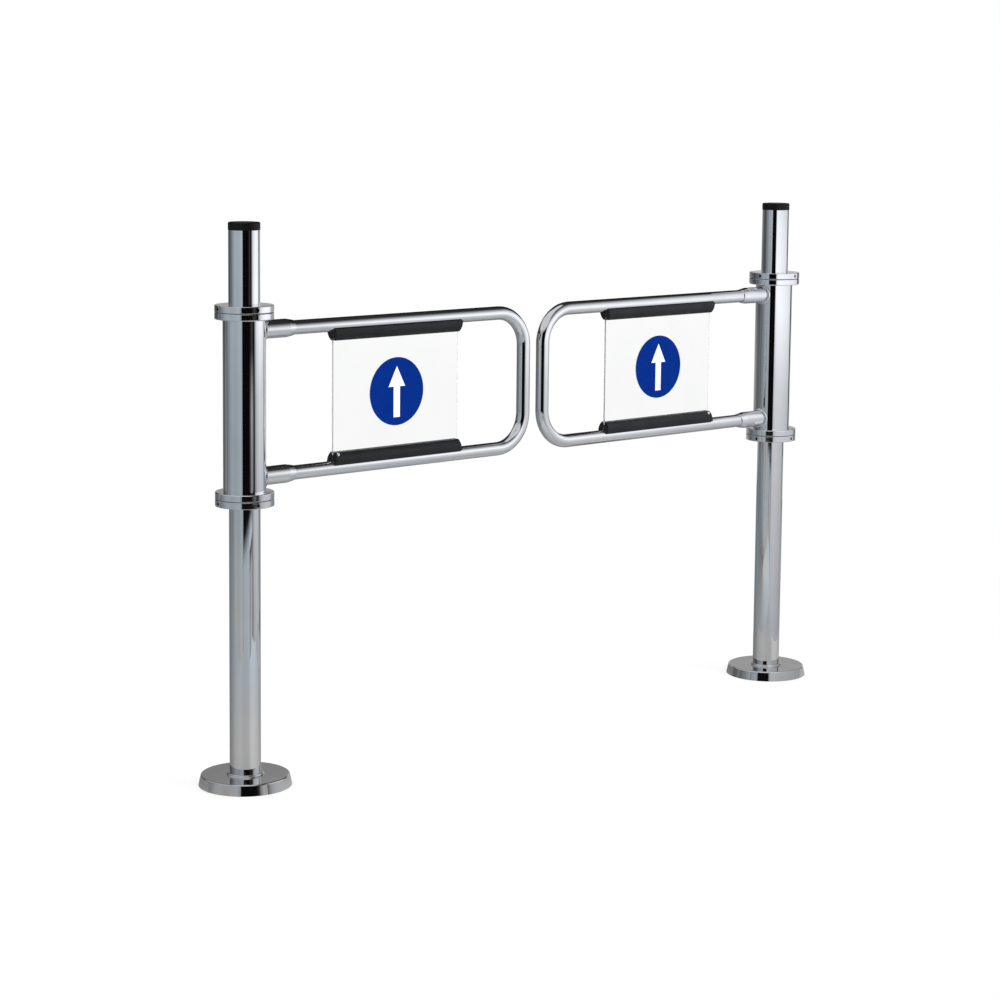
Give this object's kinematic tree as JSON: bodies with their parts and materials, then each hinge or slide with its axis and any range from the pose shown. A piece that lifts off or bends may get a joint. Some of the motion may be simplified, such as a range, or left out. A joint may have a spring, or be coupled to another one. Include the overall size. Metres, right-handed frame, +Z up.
{
  "type": "swing gate pair",
  "caption": "Pair of chromed floor posts with sprung tubular swing gates, each with a clear panel and a blue arrow sign, for one-way entry of visitors.",
  "frame": {"origin": "on the floor, midway between the two posts", "axes": "+X from the left post to the right post as seen on entering, +Y the way visitors walk, +Z up"},
  "size_m": [1.6488, 0.18, 1.084],
  "materials": {
    "chrome": "polished chrome plate",
    "plain_steel": "zinc-plated, dull",
    "black_steel": "oiled black spring steel",
    "black_plastic": "moulded, satin",
    "bearing_plastic": "self-lubricating bearing plastic, dull",
    "clear_acrylic": "clear, polished",
    "sign_blue": "printed vinyl",
    "sign_white": "printed vinyl"
  },
  "bodies": {
    "posts": {"left_anchor_plate": "plain_steel", "left_base_cover": "chrome", "left_post_tube": "chrome", "left_post_cap": "black_plastic", "left_lower_collar": "chrome", "left_upper_collar": "chrome", "left_grub_screws": "black_steel", "left_stop_pin": "plain_steel", "left_spring_anchor": "plain_steel", "left_return_spring": "black_steel", "left_count_switch": "black_plastic", "right_anchor_plate": "plain_steel", "right_base_cover": "chrome", "right_post_tube": "chrome", "right_post_cap": "black_plastic", "right_lower_collar": "chrome", "right_upper_collar": "chrome", "right_grub_screws": "black_steel", "right_stop_pin": "plain_steel", "right_spring_anchor": "plain_steel", "right_return_spring": "black_steel", "right_count_switch": "black_plastic"},
    "left_gate": {"left_lower_bush": "bearing_plastic", "left_upper_bush": "bearing_plastic", "left_gate_sleeve": "chrome", "left_lower_flange": "chrome", "left_upper_flange": "chrome", "left_lower_socket": "chrome", "left_upper_socket": "chrome", "left_gate_frame": "chrome", "left_lower_clamp": "black_plastic", "left_upper_clamp": "black_plastic", "left_clamp_screws": "chrome", "left_panel": "clear_acrylic", "left_sign_disc": "sign_blue", "left_sign_arrow": "sign_white", "left_spring_driver": "plain_steel", "left_count_magnet": "plain_steel"},
    "right_gate": {"right_lower_bush": "bearing_plastic", "right_upper_bush": "bearing_plastic", "right_gate_sleeve": "chrome", "right_lower_flange": "chrome", "right_upper_flange": "chrome", "right_lower_socket": "chrome", "right_upper_socket": "chrome", "right_gate_frame": "chrome", "right_lower_clamp": "black_plastic", "right_upper_clamp": "black_plastic", "right_clamp_screws": "chrome", "right_panel": "clear_acrylic", "right_sign_disc": "sign_blue", "right_sign_arrow": "sign_white", "right_spring_driver": "plain_steel", "right_count_magnet": "plain_steel"}
  },
  "joints": [
    {"name": "left_gate_hinge", "type": "hinge", "parent": "posts", "child": "left_gate", "pos_m": [-0.7344, 0, 0.7], "axis": [0, 0, 1], "range_deg": [0, 90], "stiffness_Nm_per_rad": 3.3, "springref_deg": -34.38, "deforming": ["left_return_spring"]},
    {"name": "right_gate_hinge", "type": "hinge", "parent": "posts", "child": "right_gate", "pos_m": [0.7344, 0, 0.7], "axis": [0, 0, -1], "range_deg": [0, 90], "stiffness_Nm_per_rad": 3.3, "springref_deg": -34.38, "deforming": ["right_return_spring"]}
  ]
}
